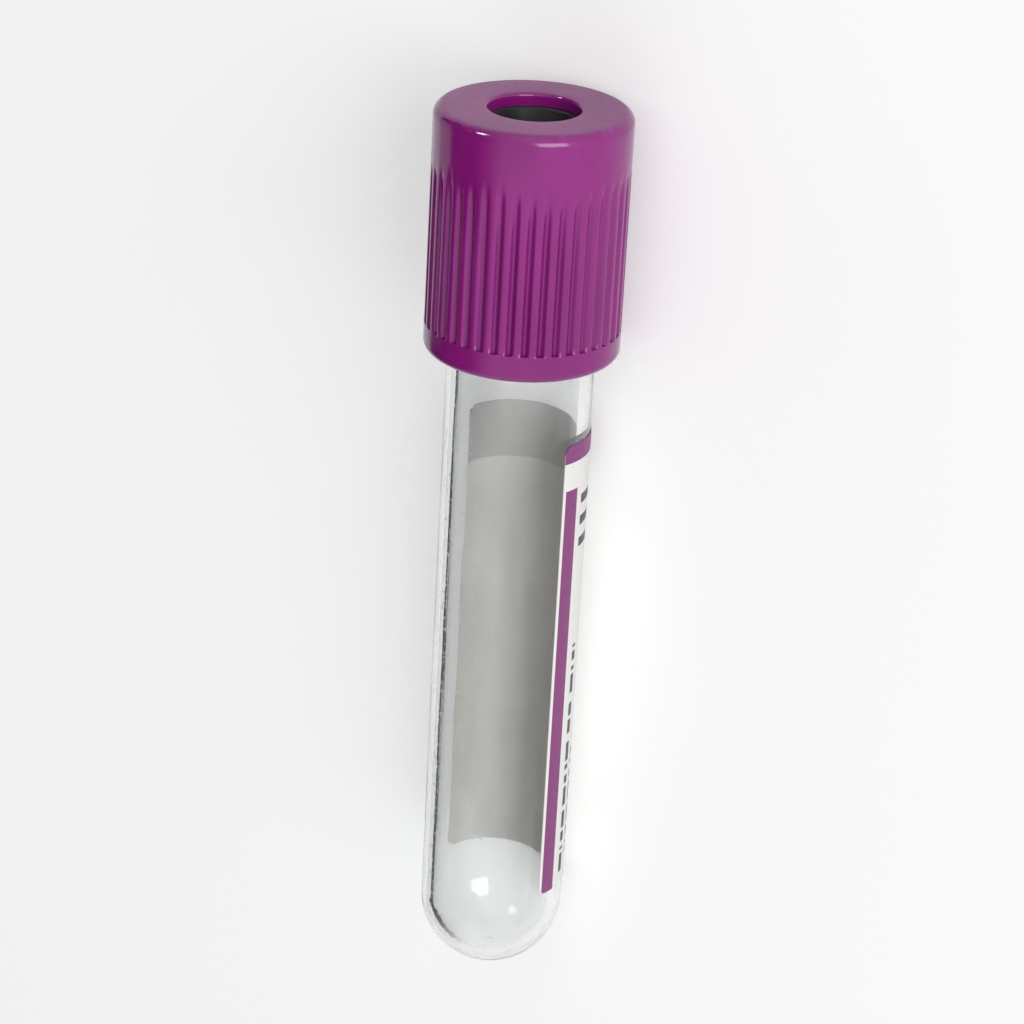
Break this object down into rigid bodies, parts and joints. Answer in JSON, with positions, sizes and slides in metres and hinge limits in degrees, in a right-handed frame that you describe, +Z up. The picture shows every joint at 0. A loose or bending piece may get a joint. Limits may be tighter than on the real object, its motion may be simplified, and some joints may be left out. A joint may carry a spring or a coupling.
{
  "type": "blood collection tube",
  "caption": "Clear round-bottomed plastic tube with a paper label and a purple ribbed push-on closure that holds a pierceable rubber stopper.",
  "frame": {"origin": "centre of the bounding box's bottom face, on the surface the tube lies on", "axes": "+Y along the tube towards the closure, which the rest pose lifts by 2.2 degrees; +Z up, out of the front that the label leaves bare; +X towards the label's striped edge"},
  "size_m": [0.0172, 0.0828, 0.018],
  "materials": {
    "clear_plastic": "clear, glossy moulded plastic",
    "label_paper": "coated white paper with a purple edge stripe, grey on its glued back",
    "purple_plastic": "satin moulded plastic, coloured through",
    "stopper_rubber": "matt moulded rubber"
  },
  "bodies": {
    "tube": {"tube": "clear_plastic", "label": "label_paper"},
    "closure": {"shield": "purple_plastic", "stopper": "stopper_rubber"}
  },
  "joints": [
    {"name": "closure_pull", "type": "slide", "parent": "tube", "child": "closure", "axis": [0, 0.9993, 0.0382], "range_m": [0, 0.028]}
  ]
}
